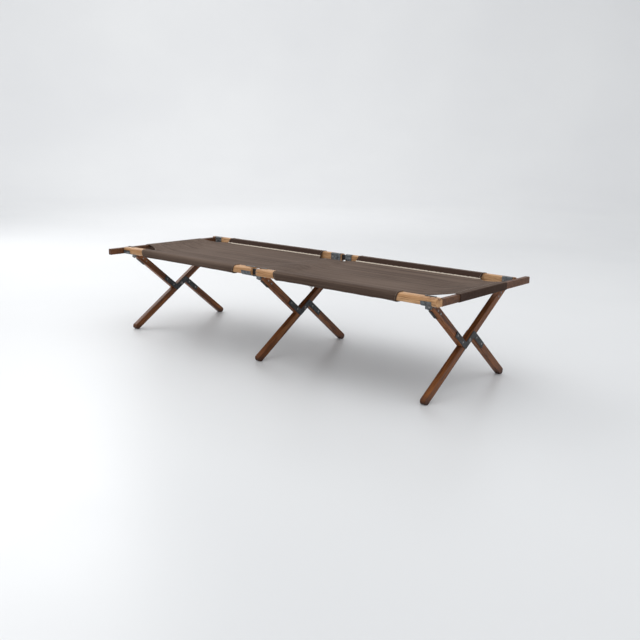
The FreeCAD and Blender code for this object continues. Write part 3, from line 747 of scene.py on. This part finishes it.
for side, s in SIDES:
    for half in ("left", "right"):
        start, end = sleeve_span[side, half]
        name = side + "_" + half
        seam_line = [
            Vector((start + 0.004 + (end - start - 0.008) * i / 40, s * (SEAM_Y - 0.0036), SEAM_Z + 0.0014))
            for i in range(41)
        ]
        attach(stitch_row(name + "_seam_stitches", seam_line), name + "_rail")
        for place, x in (("left", start + SLEEVE_HEM - 0.0025), ("right", end - SLEEVE_HEM + 0.0025)):
            ring = [sleeve_point(side, half, x, 0.03 + 0.67 * i / 60) for i in range(61)]
            middle_of_rail = Vector((0, s * (rail_out - RAIL_WIDE / 2), rail_top - RAIL_DEEP / 2))
            raised = []
            for point in ring:
                away = point - middle_of_rail
                away.x = 0
                raised.append(point + away.normalized() * STITCH_PROUD)
            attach(stitch_row(name + "_" + place + "_end_stitches", raised), name + "_rail")
        shape = bmesh.new()
        bmesh.ops.create_grid(shape, x_segments=260, y_segments=3, size=0.5)
        for vertex in shape.verts:
            x = start + (end - start) * (vertex.co.x + 0.5)
            across = vertex.co.y + 0.5
            width = 0.0056 + 0.0020 * ripple(x * 130, across * 3, s + 50)
            lift = (0.0044 + 0.0022 * ripple(x * 90, 0, s + 50)) * (1 - across) ** 1.5
            vertex.co = Vector((x, s * (SEAM_Y + 0.0012 - width * across), SEAM_Z + 0.0012 + lift))
        point_outwards(shape)
        edge = new_piece(name + "_frayed_edge", shape, fray.material)
        cloth_skin(edge, 0.0005)
        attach(edge, name + "_rail")

for half, end in (("left", -1), ("right", 1)):
    seed = PANEL_SEED[half]
    rows = []
    x = HEM_FROM - 0.014
    line = []
    for i in range(81):
        y = HEM_Y[0] + 0.004 + (HEM_Y[1] - HEM_Y[0] - 0.008) * i / 80
        line.append(Vector((end * x, y, panel_height(x, y, seed) + CLOTH * 0.6 + 0.0004)))
    rows.append(("bar_hem", line))
    for side, s in SIDES:
        start, stop = sorted(abs(v) for v in sleeve_span[side, half])
        for place, x0, x1 in (("hinge", HINGE_X + 0.002, start), ("corner", stop, HEM_FROM - 0.003)):
            line = []
            for i in range(41):
                x = x0 + (x1 - x0) * i / 40
                y = s * (panel_edge(x, side, half) - 0.006)
                line.append(Vector((end * x, y, panel_height(x, y, seed) + CLOTH * 0.6 + 0.0004)))
            rows.append((side + "_" + place, line))
    for name, line in rows:
        row = stitch_row(half + "_" + name + "_stitches", line)
        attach(row, "near_" + half + "_rail")
        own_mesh(row)


# ---------------------------------------------------------------- Loose threads
# A few broken ends of thread hang from the near sleeve's lower edge. Each is one short limp strand of the
# duck's own cotton.
TUFT_X = 0.345
TUFT_THREADS = 7
THREAD_SIDES = 6
THREAD_STEPS = 5
THREAD_RADIUS = 0.0006
shape = bmesh.new()
for i in range(TUFT_THREADS):
    x = TUFT_X + 0.006 * ripple(i * 3.7, 0, 5) + 0.0022 * (i - 3)
    start = sleeve_point("near", "right", x, 0.60 + 0.012 * (i % 3))
    length = 0.010 + 0.004 * (i % 3)
    turn = ripple(i * 1.9, 4, 2) * 1.4
    ends = bmesh.ops.create_circle(
        shape, segments=THREAD_SIDES, radius=THREAD_RADIUS, cap_ends=False
    )["verts"]
    bmesh.ops.translate(shape, vec=start + Vector((0, 0, 0.0008)), verts=ends)
    ring = list(dict.fromkeys(edge for vertex in ends for edge in vertex.link_edges))
    for step in range(THREAD_STEPS):
        made = bmesh.ops.extrude_edge_only(shape, edges=ring)["geom"]
        verts = [g for g in made if isinstance(g, bmesh.types.BMVert)]
        edges = [g for g in made if isinstance(g, bmesh.types.BMEdge)]
        ring = [g for g in edges if g.verts[0] in verts and g.verts[1] in verts]
        sway = Vector((turn * 0.35 * math.sin(step * 0.9), -0.18 * math.cos(step + i), -1)).normalized()
        bmesh.ops.translate(shape, vec=sway * length / THREAD_STEPS, verts=verts)
    bmesh.ops.holes_fill(shape, edges=ring, sides=THREAD_SIDES)
bmesh.ops.holes_fill(shape, edges=shape.edges, sides=THREAD_SIDES)
bmesh.ops.recalc_face_normals(shape, faces=shape.faces)
tuft = new_piece("loose_threads", shape, sleeve_duck.material)
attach(tuft, "near_right_rail")
